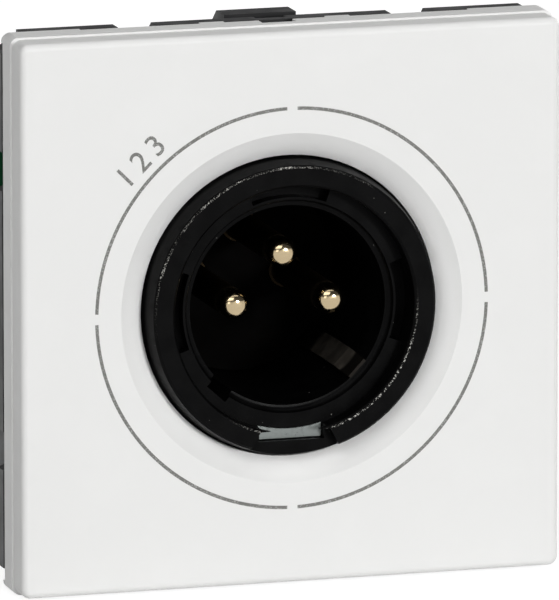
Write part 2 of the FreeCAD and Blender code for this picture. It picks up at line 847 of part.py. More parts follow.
def rod_solid(name, across, up, start, end, radius):
    """A round rod that runs along Y from start to end."""
    rod = doc.addObject("Part::Cylinder", name)
    rod.Placement = Placement(Vector(0, 0, 0), Rotation(Vector(1, 0, 0), -90))
    bind(rod, "Radius", radius)
    bind(rod, "Height", end - start)
    bind(rod, "Placement.Base.x", across)
    bind(rod, "Placement.Base.y", start)
    bind(rod, "Placement.Base.z", up)
    return rod


def fused(name, pieces):
    """Several solids as one."""
    item = doc.addObject("Part::MultiFuse", name)
    item.Shapes = pieces
    item.Refine = True
    return item


def cut_away(name, base, tools):
    """A solid less all the tools."""
    item = doc.addObject("Part::Cut", name)
    item.Base = base
    item.Tool = tools[0] if len(tools) == 1 else fused(f"{name}_tools", tools)
    item.Refine = True
    item.Label = name
    return item


def terminal_block():
    name = "terminal_block"
    half = size("pitch") * 2 + size("block_end")
    height = size("block_height") / 2
    level = pole_level
    play = size("cage_play")
    body = box_solid(f"{name}_blank", (-half, board_back, level - height), (half, block_back, level + height))
    tools = []
    for number in range(4):
        middle = pole_place(number)
        room = cage_width / 2 + play
        low = level - size("cage_height") / 2 - play
        leg_top = leg_place + size("leg_thick") / 2
        tools.append(box_solid(
            f"{name}_cavity", (middle - room, board_back, low),
            (middle + room, web_level, level + size("cage_height") / 2 + play)))
        leg_room = size("leg_width") / 2 + size("tail_play")
        tools.append(box_solid(
            f"{name}_leg_way", (middle - leg_room, board_back, level),
            (middle + leg_room, bar_back, leg_top)))
        entry = size("entry_width") / 2
        tools.append(box_solid(
            f"{name}_entry", (middle - entry, entry_front, level - height),
            (middle + entry, bar_level, level)))
        head = clamp_head + size("clamp_play")
        tools.append(rod_solid(f"{name}_head_bore", middle, level, seat_level, block_back, head))
        shank = clamp_shank + size("clamp_play")
        tools.append(rod_solid(f"{name}_shank_bore", middle, level, web_level, seat_level, shank))
    # The back edge above the screws is bevelled over the whole width
    bevel = doc.addObject("Part::Wedge", f"{name}_bevel")
    reach_back = size("block_bevel")
    bind(bevel, "Xmin", -half)
    bind(bevel, "Xmax", half)
    bind(bevel, "X2min", -half)
    bind(bevel, "X2max", half)
    bind(bevel, "Ymin", block_back - reach_back)
    bind(bevel, "Ymax", block_back)
    bind(bevel, "Zmin", level + height)
    bind(bevel, "Zmax", level + height + reach_back)
    bind(bevel, "Z2min", level + height - reach_back)
    bind(bevel, "Z2max", level + height + reach_back)
    tools.append(bevel)
    return cut_away(name, body, tools)


def clamp_cage(number):
    """A rising clamp: a rectangular loop with a tapped back wall, open upwards and downwards."""
    name = f"clamp_cage_{number + 1}"
    middle, level = pole_place(number), pole_level
    half, tall = cage_width / 2, size("cage_height") / 2
    wall = size("cage_side")
    blank = box_solid(f"{name}_blank", (middle - half, cage_level, level - tall),
                      (middle + half, cage_back, level + tall))
    window = box_solid(f"{name}_window", (middle - half + wall, entry_front, level - tall),
                       (middle + half - wall, cage_back - size("cage_tapped"), level + tall))
    thread = rod_solid(f"{name}_thread", middle, level, cage_back - size("cage_tapped"), cage_back,
                       clamp_shank + size("clamp_play") / 2)
    return cut_away(name, blank, [window, thread])


def terminal_contact(number):
    """The fixed bar inside the cage, with a leg down into the board."""
    name = f"terminal_contact_{number + 1}"
    middle, level = pole_place(number), pole_level
    half = cage_width / 2 - size("cage_side") - size("bar_play")
    leg = size("leg_width") / 2
    top = leg_place + size("leg_thick") / 2
    inner = leg_place - size("leg_thick") / 2
    bar = box_solid(f"{name}_bar", (middle - half, bar_level, level - size("cage_height") / 2),
                    (middle + half, bar_back, level + size("cage_height") / 2))
    neck = box_solid(f"{name}_neck", (middle - leg, bar_level, level), (middle + leg, bar_back, top))
    foot = box_solid(f"{name}_foot", (middle - leg, board_level - size("tail_proud") / 2, inner),
                     (middle + leg, bar_back, top))
    item = fused(name, [bar, neck, foot])
    item.Label = name
    return item


# Screws

def screw_body(label, head_radius, head_height, shank_radius, shank_length, cross):
    """A screw along Y: its head ends at 0 and points to -Y, and its shank runs to +Y."""
    body = fresh_body(label)
    edge = size("screw_edge")
    profile = sketch_on(body, "XY_Plane")
    points = [(ZERO, -head_height), (head_radius - edge, -head_height), (head_radius, edge - head_height),
              (head_radius, ZERO), (shank_radius, ZERO), (shank_radius, shank_length - edge),
              (shank_radius - edge, shank_length), (ZERO, shank_length)]
    outline(profile, points)
    turned(body, profile)
    long_side = head_radius * 1.2 if cross else head_radius * 2.4
    for turn in ((0.0, 90.0) if cross else (0.0,)):
        slot = front_sketch(body, -head_height, Size(turn, str(turn)))
        rectangle(slot, ZERO, ZERO, long_side, size("slot_width"))
        pocket(body, slot, size("slot_depth"))
    return body


def receptacle_screw(number, place):
    """A screw through one of the receptacle's ears into the frame."""
    body = screw_body(f"receptacle_screw_{number}", size("fixing_head_radius"), size("fixing_head_height"),
                      size("fixing_shank"), size("fixing_reach") - size("fixing_play"), True)
    place_body(body, place, ear_level, place)
    return body


def board_screw(number, across, up):
    """A screw that holds a corner of the board to the frame, its head at the back."""
    length = size("fixing_reach") + size("board_thick") - size("hole_play")
    body = screw_body(f"board_screw_{number}", size("fixing_head_radius"), size("fixing_head_height"),
                      size("fixing_shank"), length, True)
    body.Placement = Placement(Vector(0, 0, 0), Rotation(Vector(0, 0, 1), 180))
    place_body(body, across, board_back, up)
    return body


def clamp_screw(number):
    """A terminal screw: its head turns on the block's web and its end stops short of the bar."""
    reach_in = seat_level - bar_back - size("bar_play")
    body = screw_body(f"clamp_screw_{number + 1}", clamp_head, size("clamp_head_height"), clamp_shank,
                      reach_in, False)
    body.Placement = Placement(Vector(0, 0, 0), Rotation(Vector(0, 0, 1), 180))
    place_body(body, pole_place(number), seat_level, pole_level)
    return body


def build_all():
    """Every separate piece of the socket."""
    pieces = [cover_plate(), mounting_frame(), receptacle_shell(), contact_insert()]
    for number, (across, up) in enumerate(pin_places(), start=1):
        pieces.append(contact_pin(number, across, up))
    pieces += [ground_contact(), latch_plate(), circuit_board(), terminal_block()]
    for number, place in enumerate((-ear_place, ear_place), start=1):
        pieces.append(receptacle_screw(number, place))
    for number, (across, up) in enumerate(boss_places(), start=1):
        pieces.append(board_screw(number, across, up))
    for number in range(4):
        pieces += [clamp_cage(number), terminal_contact(number), clamp_screw(number)]
    return pieces


pieces = build_all()
doc.recompute()
for item in doc.Objects:
    if "Invalid" in item.State or "Error" in item.State:
        raise RuntimeError(f"{item.Label} did not compute: {item.State}")
for piece in pieces:
    if piece.Shape.isNull() or not piece.Shape.isValid() or len(piece.Shape.Solids) != 1:
        raise RuntimeError(f"{piece.Label} is not one valid solid")
os.makedirs("parts", exist_ok=True)
for piece in pieces:
    piece.Shape.exportStep(f"parts/{piece.Label}.step")
print(f"{len(pieces)} sub-parts written")
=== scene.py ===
import json
import math

import bmesh
import bpy
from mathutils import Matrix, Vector


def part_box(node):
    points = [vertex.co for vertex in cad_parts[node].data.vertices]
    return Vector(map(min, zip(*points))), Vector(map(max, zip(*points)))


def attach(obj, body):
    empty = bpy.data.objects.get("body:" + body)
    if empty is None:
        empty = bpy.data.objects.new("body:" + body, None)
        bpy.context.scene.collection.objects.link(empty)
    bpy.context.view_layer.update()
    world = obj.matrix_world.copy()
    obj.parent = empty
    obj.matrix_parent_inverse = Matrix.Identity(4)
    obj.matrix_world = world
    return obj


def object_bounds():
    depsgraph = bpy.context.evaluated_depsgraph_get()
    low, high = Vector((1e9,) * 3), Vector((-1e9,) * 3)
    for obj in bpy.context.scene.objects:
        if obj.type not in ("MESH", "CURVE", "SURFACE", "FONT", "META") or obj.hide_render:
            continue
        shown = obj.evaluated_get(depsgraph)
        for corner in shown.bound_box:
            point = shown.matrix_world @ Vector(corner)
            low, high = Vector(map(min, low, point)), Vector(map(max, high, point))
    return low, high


# Looks of the three-pin audio wall socket. Metres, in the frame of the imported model: +Z up, +Y into
# the wall, and the socket faces -Y.

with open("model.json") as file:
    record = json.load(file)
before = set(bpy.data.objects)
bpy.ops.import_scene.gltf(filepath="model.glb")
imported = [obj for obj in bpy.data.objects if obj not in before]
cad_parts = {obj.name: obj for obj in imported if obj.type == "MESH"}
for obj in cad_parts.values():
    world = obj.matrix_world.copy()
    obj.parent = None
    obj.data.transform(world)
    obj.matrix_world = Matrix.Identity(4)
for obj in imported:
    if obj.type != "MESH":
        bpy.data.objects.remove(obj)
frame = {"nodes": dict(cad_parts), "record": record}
cad_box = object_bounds()
nodes = frame["nodes"]

MM = 0.001

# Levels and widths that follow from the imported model
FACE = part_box("cover_plate")[0].y
BOARD_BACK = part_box("circuit_board")[1].y
COLLAR_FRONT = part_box("receptacle_shell")[0].y
PIN_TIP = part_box("contact_pin_1")[0].y
STRIP_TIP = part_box("ground_contact")[0].y
LOWEST = cad_box[0][2]

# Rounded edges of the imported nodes: widths in millimetres, and the turn in degrees from which an
# edge is rounded
EDGE_WIDTHS = {
    "mounting_frame": 0.08, "terminal_block": 0.08, "circuit_board": 0.04, "latch_plate": 0.05,
    "ground_contact": 0.04, "receptacle_shell": 0.05, "contact_insert": 0.06, "cover_plate": 0.03,
}
OTHER_EDGE_WIDTH = 0.05
EDGE_STEPS = 2
EDGE_ANGLE = 32.0
WELD_REACH = 0.001 * MM
FACE_WEIGHT = 50

# Print on the plate, in real sizes
RING_RADIUS = 16.16 * MM
RING_WIDTH = 0.28 * MM
RING_GAP = 0.85 * MM
RING_STEPS = 72
PRINT_HEIGHT = 0.012 * MM
DIGIT_HEIGHT = 1.75 * MM
DIGIT_RISE = 0.6 * MM
DIGIT_STEP = 1.75 * MM
DIGIT_ANGLE = 135.0
DIGIT_SHARE_OF_SIZE = 0.69
INK_SPREAD = 0.008 * MM

# Rear side: solder, pads and tracks on the board
PAD_RADIUS = 1.0 * MM
PAD_HEIGHT = 0.035 * MM
PIN_TAIL_RADIUS = 0.55 * MM
STRIP_TAIL_RADIUS = 0.62 * MM
SOLDER_HEIGHT = 0.75 * MM
SOLDER_STEPS = 6
SOLDER_HOLLOW = 2.2
SOLDER_FOOT = 0.94
SOLDER_CROWN = 1.04
TRACK_WIDTH = 0.9 * MM
TRACK_HEIGHT = 0.04 * MM
TRACK_SLOPE = 1.5
TRACK_UNDER_BLOCK = 0.3 * MM
TRACK_3_OUTWARD = 0.6 * MM
TRACK_4_STEP = 0.8 * MM

# The dish's painted light, a lighter white where its slope is shaded: whole inside one radius
# and gone at the next, and so with the depth behind the face, which keeps it off the cover's sides
DISH_INNER = 12.2 * MM
DISH_OUTER = 14.4 * MM
DISH_DEPTH = 1.3 * MM
DISH_DEPTH_END = 1.5 * MM

# Painted highlight specks on the collar's lit edges: half width, half depth, and the middle of the depth
# behind its front
GLINT_HALF_WIDTH = 0.1 * MM
GLINT_HALF_DEPTH = 0.3 * MM
GLINT_MIDDLE = 0.1 * MM

# Where painted shade darkens the pins behind their tips, deep in the barrel, and how far before the board's
# back they are bright again
PIN_SHADE_FROM = 1.1 * MM
PIN_SHADE_TO = 2.6 * MM
PIN_TAIL_BRIGHT = 3.0 * MM

# Painted shade on the ground strip: where it turns dark behind its tip, deep in the barrel, and near its
# outer end by radius
STRIP_SHADE_FROM = 9.0 * MM
STRIP_SHADE_TO = 10.5 * MM
STRIP_END_SHADE_FROM = 7.3 * MM
STRIP_END_SHADE_TO = 7.42 * MM

# The glass cloth in the board, and the share of its thickness that shows pale on the cut edge
WEAVE = 0.5 * MM
WEAVE_DEPTH = 0.06
EDGE_SHARE = 0.95

# Colours, linear
WHITE = (0.80, 0.80, 0.79)
# Painted light for the shaded dish, and the pale end of the plate's faint random mottle
PAINTED_DISH_LIGHT_AND_MOTTLE = (0.95, 0.95, 0.94)
INK_GREY = (0.14, 0.14, 0.128)
SHELL_DARK = (0.0012, 0.0012, 0.0013)
SHELL_PALE = (0.0024, 0.0024, 0.0025)
# Pale colour of the painted highlight specks on the collar's edges, and of the dust
GLINT_AND_DUST_PALE = (0.62, 0.61, 0.57)
GOLD = (0.50, 0.40, 0.25)
# Painted shade on the pin shafts deep in the barrel
PAINTED_SHADE_GOLD = (0.02, 0.014, 0.008)
# Dark end of the strip's painted shade and of its stains
STRIP_SHADE_AND_STAIN = (0.01, 0.009, 0.008)
STRIP_TIN = (0.2, 0.18, 0.155)
MASK_DARK = (0.004, 0.055, 0.02)
MASK_PALE = (0.008, 0.085, 0.034)
GLASS_CLOTH = (0.36, 0.36, 0.2)

# Roughness, gloss and depth of relief
COVER_ROUGHNESS = (0.44, 0.52)
COVER_GLOSS = 0.3
COVER_RELIEF = 0.0016 * MM
SHELL_ROUGHNESS = (0.30, 0.36)
SHELL_GLOSS = 0.04
SHELL_RELIEF = 0.006 * MM
DENT_SHARE = 6.0
PIN_ROUGHNESS = (0.10, 0.19)
PIN_DULL_ROUGHER = 0.3
PIN_RELIEF = 0.003 * MM
STRIP_ROUGHNESS = 0.55
STRIP_RELIEF = 0.003 * MM
BOARD_ROUGHNESS = 0.33
BOARD_RELIEF = 0.01 * MM
INK_ROUGHNESS = 0.5
INK_RELIEF = 0.004 * MM

# Features to the metre, from broad clouds to fine specks
CLOUDS = 160.0
BOARD_CLOUDS = 300.0
GLINT_PATCHES = 400.0
GLOSS_CLOUDS = 420.0
SHELL_CLOUDS = 500.0
STRIP_STAINS = 700.0
METAL_STAINS = 900.0
PIN_WAVES = 1800.0
METAL_GLOSS = 2400.0
STRIP_GRAIN = 2500.0
COVER_GRAIN = 2600.0
DUST = 3000.0
SAWN_EDGE = 3000.0
SHELL_GRAIN = 3800.0
WEAR_DENTS = 6500.0
GLINT_SPECKS = 9000.0
INK_HOLES = 9000.0
STREAKS = (9000.0, 9000.0, 500.0)

# The range about its middle that a noise mostly keeps to
NOISE_LOW = 0.3
NOISE_HIGH = 0.7

# Sockets of the colour mix node, which share their names with those of its other kinds
MIX_SHARE = 0
MIX_FIRST = 6
MIX_SECOND = 7
MIX_RESULT = 2

# The photograph's view
VIEW_AZIMUTH = -16.7
VIEW_ELEVATION = 11.36
VIEW_DISTANCE = 1.0
VIEW_FOCAL = 750.3
VIEW_SENSOR = 36.0
VIEW_RIGHT = 0.9 * MM
VIEW_DOWN = 0.6 * MM
VIEW_NEAR = 0.01

# The floor, the light from all round, and the background: white up to one height and dark from
# the next, as sines of the angle above the horizon
FLOOR_REACH = 8.0
FLOOR_GAP = 0.05 * MM
FLOOR_COLOUR = (0.8, 0.8, 0.8, 1.0)
FLOOR_SEEN = (0.36, 0.36, 0.36, 1.0)
FLOOR_GLOW = 0.84
WORLD_WHITE = (1.0, 1.0, 1.0, 1.0)
WORLD_LEVEL = 0.08
BACKDROP_LEVEL = 1.0
BACKDROP_WHITE_TO = 0.17
BACKDROP_DARK_FROM = 0.3


# Node trees

def new_material(name):
    """A new material with its tree and its shader."""
    material = bpy.data.materials.new(name)
    material.use_nodes = True
    tree = material.node_tree
    return material, tree, tree.nodes["Principled BSDF"]


def place_of(tree):
    """The point in the object's own frame, in metres."""
    return tree.nodes.new("ShaderNodeTexCoord").outputs["Object"]


def noise(tree, vector, scale, detail=3.0, rough=0.5):
    """A noise value about 0.5. The scale counts features to the metre."""
    node = tree.nodes.new("ShaderNodeTexNoise")
    node.inputs["Scale"].default_value = scale
    node.inputs["Detail"].default_value = detail
    node.inputs["Roughness"].default_value = rough
    tree.links.new(vector, node.inputs["Vector"])
    return node.outputs["Fac"]


def remap(tree, value, low, high, new_low, new_high):
    """Maps a range of a value smoothly to another range, and holds it there."""
    node = tree.nodes.new("ShaderNodeMapRange")
    node.interpolation_type = "SMOOTHSTEP"
    limits = (("From Min", low), ("From Max", high), ("To Min", new_low), ("To Max", new_high))
    for name, number in limits:
        node.inputs[name].default_value = number
    tree.links.new(value, node.inputs["Value"])
    return node.outputs["Result"]


def vary(tree, value, low, high):
    """Spreads the usual range of a noise over another range."""
    return remap(tree, value, NOISE_LOW, NOISE_HIGH, low, high)


def calc(tree, kind, first, second=None):
    """A math node of two values or numbers."""
    node = tree.nodes.new("ShaderNodeMath")
    node.operation = kind
    for socket, value in zip(node.inputs, (first, second)):
        if value is None:
            continue
        if isinstance(value, (int, float)):
            socket.default_value = value
        else:
            tree.links.new(value, socket)
    return node.outputs["Value"]


def blend_colours(tree, share, first, second):
    """One colour to another by a share. A colour is linear numbers or the output of a node."""
    node = tree.nodes.new("ShaderNodeMix")
    node.data_type = "RGBA"
    for number, colour in ((MIX_FIRST, first), (MIX_SECOND, second)):
        if isinstance(colour, (tuple, list)):
            node.inputs[number].default_value = (*colour, 1.0)
        else:
            tree.links.new(colour, node.inputs[number])
    tree.links.new(share, node.inputs[MIX_SHARE])
    return node.outputs[MIX_RESULT]


def relief(tree, shader, height, distance):
    """Small bumps of a given depth in metres."""
    bump = tree.nodes.new("ShaderNodeBump")
    bump.inputs["Distance"].default_value = distance
    bump.inputs["Strength"].default_value = 1.0
    tree.links.new(height, bump.inputs["Height"])
    tree.links.new(bump.outputs["Normal"], shader.inputs["Normal"])


def split(tree, vector):
    """The three parts of a vector."""
    node = tree.nodes.new("ShaderNodeSeparateXYZ")
    tree.links.new(vector, node.inputs[0])
    return node.outputs["X"], node.outputs["Y"], node.outputs["Z"]


def from_axis(tree, vector):
    """Distance from the socket's axis, and the level along it."""
    across, deep, up = split(tree, vector)
    squares = calc(tree, "ADD", calc(tree, "MULTIPLY", across, across), calc(tree, "MULTIPLY", up, up))
    return calc(tree, "SQRT", squares), deep


def band(tree, value, middle, half):
    """1 within a band about the middle, falling softly to 0 at its edges."""
    gap = calc(tree, "ABSOLUTE", calc(tree, "SUBTRACT", value, middle))
    return remap(tree, gap, half * 0.4, half, 1.0, 0.0)


def towards(tree, place, radius, side):
    """1 on the side of the axis that a direction across and up points to, 0 on the other."""
    across, _, up = split(tree, place)
    along = calc(tree, "ADD", calc(tree, "MULTIPLY", across, side[0]), calc(tree, "MULTIPLY", up, side[1]))
    return remap(tree, calc(tree, "DIVIDE", along, radius), 0.35, 0.85, 0.0, 1.0)


# Materials

def plastic(name, colour, roughness, grain, depth, spread, gloss):
    """Moulded plastic: slight mottling, a fine moulded grain and uneven gloss."""
    material, tree, shader = new_material(name)
    place = place_of(tree)
    mottle = vary(tree, noise(tree, place, CLOUDS), 0.0, 1.0)
    dark = [channel * (1 - spread) for channel in colour]
    pale = [min(1.0, channel * (1 + spread)) for channel in colour]
    tree.links.new(blend_colours(tree, mottle, dark, pale), shader.inputs["Base Color"])
    uneven = vary(tree, noise(tree, place, GLOSS_CLOUDS, detail=4.0), roughness * 0.88, roughness * 1.12)
    tree.links.new(uneven, shader.inputs["Roughness"])
    shader.inputs["Specular IOR Level"].default_value = gloss
    relief(tree, shader, noise(tree, place, grain, detail=2.0), depth)
    return material


def cover_plastic(name):
    """Satin white moulded plastic, with painted light that makes the shaded dish about the collar lighter."""
    material, tree, shader = new_material(name)
    place = place_of(tree)
    radius, deep = from_axis(tree, place)
    # Painted light: the dish is written lighter where its slope is shaded
    dished = remap(tree, radius, DISH_INNER, DISH_OUTER, 1.0, 0.0)
    front = remap(tree, deep, FACE + DISH_DEPTH, FACE + DISH_DEPTH_END, 1.0, 0.0)
    cloud = vary(tree, noise(tree, place, CLOUDS), -0.06, 0.06)
    share = calc(tree, "ADD", calc(tree, "MULTIPLY", dished, front), cloud)
    tree.links.new(blend_colours(tree, share, WHITE, PAINTED_DISH_LIGHT_AND_MOTTLE), shader.inputs["Base Color"])
    uneven = vary(tree, noise(tree, place, GLOSS_CLOUDS, detail=4.0), *COVER_ROUGHNESS)
    tree.links.new(uneven, shader.inputs["Roughness"])
    shader.inputs["Specular IOR Level"].default_value = COVER_GLOSS
    relief(tree, shader, noise(tree, place, COVER_GRAIN, detail=2.0), COVER_RELIEF)
    return material


def front_edges():
    """Radii of the collar's outer edge and bore edge, from the shell's points near its front."""
    points = [vertex.co for vertex in nodes["receptacle_shell"].data.vertices]
    near = COLLAR_FRONT + 0.05 * MM
    front = [math.hypot(point.x, point.z) for point in points if point.y < near]
    return max(front), min(front)


def shell_glints_and_dust(name):
    """Black moulded plastic with painted highlight specks on the lit sides of its turned edges, and a little
    dust.
    """
    material, tree, shader = new_material(name)
    place = place_of(tree)
    radius, deep = from_axis(tree, place)
    outer_edge, bore_edge = front_edges()
    edges = None
    # Painted highlight: pale specks on the outer edge's upper left and the bore edge's lower right, the sides
    # that face the lamps
    for middle, side in ((outer_edge, (-0.5, 0.87)), (bore_edge, (0.5, -0.87))):
        ring = band(tree, radius, middle, GLINT_HALF_WIDTH)
        ring = calc(tree, "MULTIPLY", ring, towards(tree, place, radius, side))
        edges = ring if edges is None else calc(tree, "MAXIMUM", edges, ring)
    edges = calc(tree, "MULTIPLY", edges, band(tree, deep, COLLAR_FRONT + GLINT_MIDDLE, GLINT_HALF_DEPTH))
    specks = remap(tree, noise(tree, place, GLINT_SPECKS, detail=2.0), 0.52, 0.64, 0.0, 1.0)
    patches = remap(tree, noise(tree, place, GLINT_PATCHES, detail=2.0), 0.38, 0.6, 0.2, 1.0)
    painted_glints = calc(tree, "MULTIPLY", calc(tree, "MULTIPLY", edges, specks), patches)
    dust = remap(tree, noise(tree, place, DUST, detail=1.0), 0.8, 0.84, 0.0, 0.3)
    glints_and_dust = calc(tree, "MAXIMUM", painted_glints, dust)
    mottle = vary(tree, noise(tree, place, SHELL_CLOUDS, detail=4.0), 0.0, 1.0)
    plain = blend_colours(tree, mottle, SHELL_DARK, SHELL_PALE)
    tree.links.new(blend_colours(tree, glints_and_dust, plain, GLINT_AND_DUST_PALE), shader.inputs["Base Color"])
    tree.links.new(remap(tree, mottle, 0.0, 1.0, *SHELL_ROUGHNESS), shader.inputs["Roughness"])
    shader.inputs["Specular IOR Level"].default_value = SHELL_GLOSS
    grain = noise(tree, place, SHELL_GRAIN)
    dents = calc(tree, "MULTIPLY", noise(tree, place, WEAR_DENTS, detail=1.0),
                 calc(tree, "MULTIPLY", edges, DENT_SHARE))
    relief(tree, shader, calc(tree, "ADD", grain, dents), SHELL_RELIEF)
    return material


def metal(name, colour, roughness, streaks, tarnish, dull):
    """Plated metal: fine streaks of a given depth, uneven gloss and a little tarnish."""
    material, tree, shader = new_material(name)
    place = place_of(tree)
    stain = remap(tree, noise(tree, place, METAL_STAINS, detail=4.0, rough=0.6), 0.45, 0.75, 0.0, tarnish)
    tree.links.new(blend_colours(tree, stain, colour, dull), shader.inputs["Base Color"])
    shader.inputs["Metallic"].default_value = 1.0
    uneven = vary(tree, noise(tree, place, METAL_GLOSS), roughness * 0.7, roughness * 1.4)
    tree.links.new(uneven, shader.inputs["Roughness"])
    stretch = tree.nodes.new("ShaderNodeMapping")
    stretch.inputs["Scale"].default_value = STREAKS
    tree.links.new(place, stretch.inputs["Vector"])
    relief(tree, shader, noise(tree, stretch.outputs["Vector"], 1.0, detail=2.0), streaks)
    return material


def pin_gold(name):
    """Pale polished gold at the tips and tails; along the shafts deep in the barrel rougher, and dark from
    painted shade.
    """
    material, tree, shader = new_material(name)
    place = place_of(tree)
    deep = split(tree, place)[1]
    # Painted shade: the shafts deep in the barrel are written dark, back to bright gold on the tails behind
    # the board
    pin_shade = calc(tree, "MULTIPLY", remap(tree, deep, PIN_TIP + PIN_SHADE_FROM, PIN_TIP + PIN_SHADE_TO, 0.0, 1.0),
                calc(tree, "LESS_THAN", deep, BOARD_BACK - PIN_TAIL_BRIGHT))
    tree.links.new(blend_colours(tree, pin_shade, GOLD, PAINTED_SHADE_GOLD), shader.inputs["Base Color"])
    shader.inputs["Metallic"].default_value = 1.0
    handled = vary(tree, noise(tree, place, METAL_GLOSS), *PIN_ROUGHNESS)
    rough = calc(tree, "ADD", handled, calc(tree, "MULTIPLY", pin_shade, PIN_DULL_ROUGHER))
    tree.links.new(rough, shader.inputs["Roughness"])
    relief(tree, shader, noise(tree, place, PIN_WAVES, detail=2.0), PIN_RELIEF)
    return material


def spring_strip(name):
    """Dull tarnished spring strip, with painted shade that makes it darker deep in the barrel and at its
    outer end.
    """
    material, tree, shader = new_material(name)
    place = place_of(tree)
    radius, deep = from_axis(tree, place)
    # Painted shade: dark deep in the barrel and at the strip's outer end; the stains vary it at random
    inner = remap(tree, deep, STRIP_TIP + STRIP_SHADE_FROM, STRIP_TIP + STRIP_SHADE_TO, 1.0, 0.1)
    outer = remap(tree, radius, STRIP_END_SHADE_FROM, STRIP_END_SHADE_TO, 1.0, 0.03)
    stain = remap(tree, noise(tree, place, STRIP_STAINS), 0.35, 0.7, 0.5, 1.0)
    share = calc(tree, "MULTIPLY", calc(tree, "MULTIPLY", inner, outer), stain)
    tree.links.new(blend_colours(tree, share, STRIP_SHADE_AND_STAIN, STRIP_TIN), shader.inputs["Base Color"])
    shader.inputs["Metallic"].default_value = 1.0
    shader.inputs["Roughness"].default_value = STRIP_ROUGHNESS
    relief(tree, shader, noise(tree, place, STRIP_GRAIN), STRIP_RELIEF)
    return material


def laminate(name):
    """Circuit board: green solder mask on the faces, pale glass cloth on the cut edges."""
    material, tree, shader = new_material(name)
    place = place_of(tree)
    across, deep, up = split(tree, place)
    threads = [calc(tree, "SINE", calc(tree, "MULTIPLY", way, 2 * math.pi / WEAVE)) for way in (across, up)]
    weave = calc(tree, "MULTIPLY", calc(tree, "MULTIPLY", *threads), WEAVE_DEPTH)
    cloudy = calc(tree, "ADD", noise(tree, place, BOARD_CLOUDS), weave)
    mask = blend_colours(tree, vary(tree, cloudy, 0.0, 1.0), MASK_DARK, MASK_PALE)
    board_low, board_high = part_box("circuit_board")
    middle = (board_low.y + board_high.y) / 2
    half = (board_high.y - board_low.y) / 2
    inside = calc(tree, "ABSOLUTE", calc(tree, "SUBTRACT", deep, middle))
    sawn = vary(tree, noise(tree, place, SAWN_EDGE), 0.7, 1.0)
    edge = calc(tree, "MULTIPLY", calc(tree, "LESS_THAN", inside, half * EDGE_SHARE), sawn)
    tree.links.new(blend_colours(tree, edge, mask, GLASS_CLOTH), shader.inputs["Base Color"])
    shader.inputs["Roughness"].default_value = BOARD_ROUGHNESS
    relief(tree, shader, cloudy, BOARD_RELIEF)
    return material


def ink(name):
    """Screen print: grey ink with pinholes that let some of the plate's white show."""
    material, tree, shader = new_material(name)
    holes = remap(tree, noise(tree, place_of(tree), INK_HOLES, detail=2.0), 0.5, 0.68, 0.0, 0.3)
    tree.links.new(blend_colours(tree, holes, INK_GREY, WHITE), shader.inputs["Base Color"])
    shader.inputs["Roughness"].default_value = INK_ROUGHNESS
    relief(tree, shader, holes, INK_RELIEF)
    return material


FINISHES = {
    "cover_white": cover_plastic("cover_white"),
    "frame_black": plastic("frame_black", (0.012, 0.012, 0.013), roughness=0.5, grain=5200.0,
                           depth=0.008 * MM, spread=0.2, gloss=0.25),
    "shell_black": shell_glints_and_dust("shell_black"),
    "insert_black": plastic("insert_black", (0.0012, 0.001, 0.0009), roughness=0.6, grain=5200.0,
                            depth=0.006 * MM, spread=0.2, gloss=0.015),
    "contact_gold": pin_gold("contact_gold"),
    "ground_strip": spring_strip("ground_strip"),
    "latch_steel": metal("latch_steel", (0.151, 0.164, 0.159), roughness=0.38,
                         streaks=0.0015 * MM, tarnish=0.12, dull=(0.13, 0.14, 0.13)),
    "board_laminate": laminate("board_laminate"),
    "block_plastic": plastic("block_plastic", (0.36, 0.375, 0.37), roughness=0.42, grain=3600.0,
                             depth=0.006 * MM, spread=0.05, gloss=0.45),
    "clamp_nickel": metal("clamp_nickel", (0.62, 0.59, 0.52), roughness=0.3,
                          streaks=0.004 * MM, tarnish=0.3, dull=(0.35, 0.3, 0.22)),
    "clamp_screw_steel": metal("clamp_screw_steel", (0.6, 0.59, 0.56), roughness=0.28,
                               streaks=0.003 * MM, tarnish=0.3, dull=(0.3, 0.29, 0.27)),
    "contact_tin": metal("contact_tin", (0.7, 0.7, 0.68), roughness=0.3,
                         streaks=0.002 * MM, tarnish=0.25, dull=(0.4, 0.4, 0.38)),
    "screw_steel": metal("screw_steel", (0.55, 0.55, 0.55), roughness=0.27,
                         streaks=0.003 * MM, tarnish=0.3, dull=(0.28, 0.28, 0.28)),
}
FINISH_INK = ink("ink_grey")
FINISH_TRACK = plastic("track_green", (0.012, 0.13, 0.05), roughness=0.32, grain=1500.0,
                       depth=0.004 * MM, spread=0.1, gloss=0.5)


def dress_nodes():
    """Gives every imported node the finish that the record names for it, and small rounded edges."""
    for part in frame["record"]["subparts"]:
        name = part["node"]
        piece = nodes[name]
        piece.data.materials.clear()
        piece.data.materials.append(FINISHES[part["material_slot"]])
        family = name.rstrip("0123456789").rstrip("_")
        weld = piece.modifiers.new("weld", "WELD")
        weld.merge_threshold = WELD_REACH
        bevel = piece.modifiers.new("edges", "BEVEL")
        bevel.width = EDGE_WIDTHS.get(family, OTHER_EDGE_WIDTH) * MM
        bevel.segments = EDGE_STEPS
        bevel.limit_method = "ANGLE"
        bevel.angle_limit = math.radians(EDGE_ANGLE)
        bevel.use_clamp_overlap = True
        shading = piece.modifiers.new("shading", "WEIGHTED_NORMAL")
        shading.mode = "FACE_AREA"
        shading.weight = FACE_WEIGHT
        shading.keep_sharp = True


# Pieces

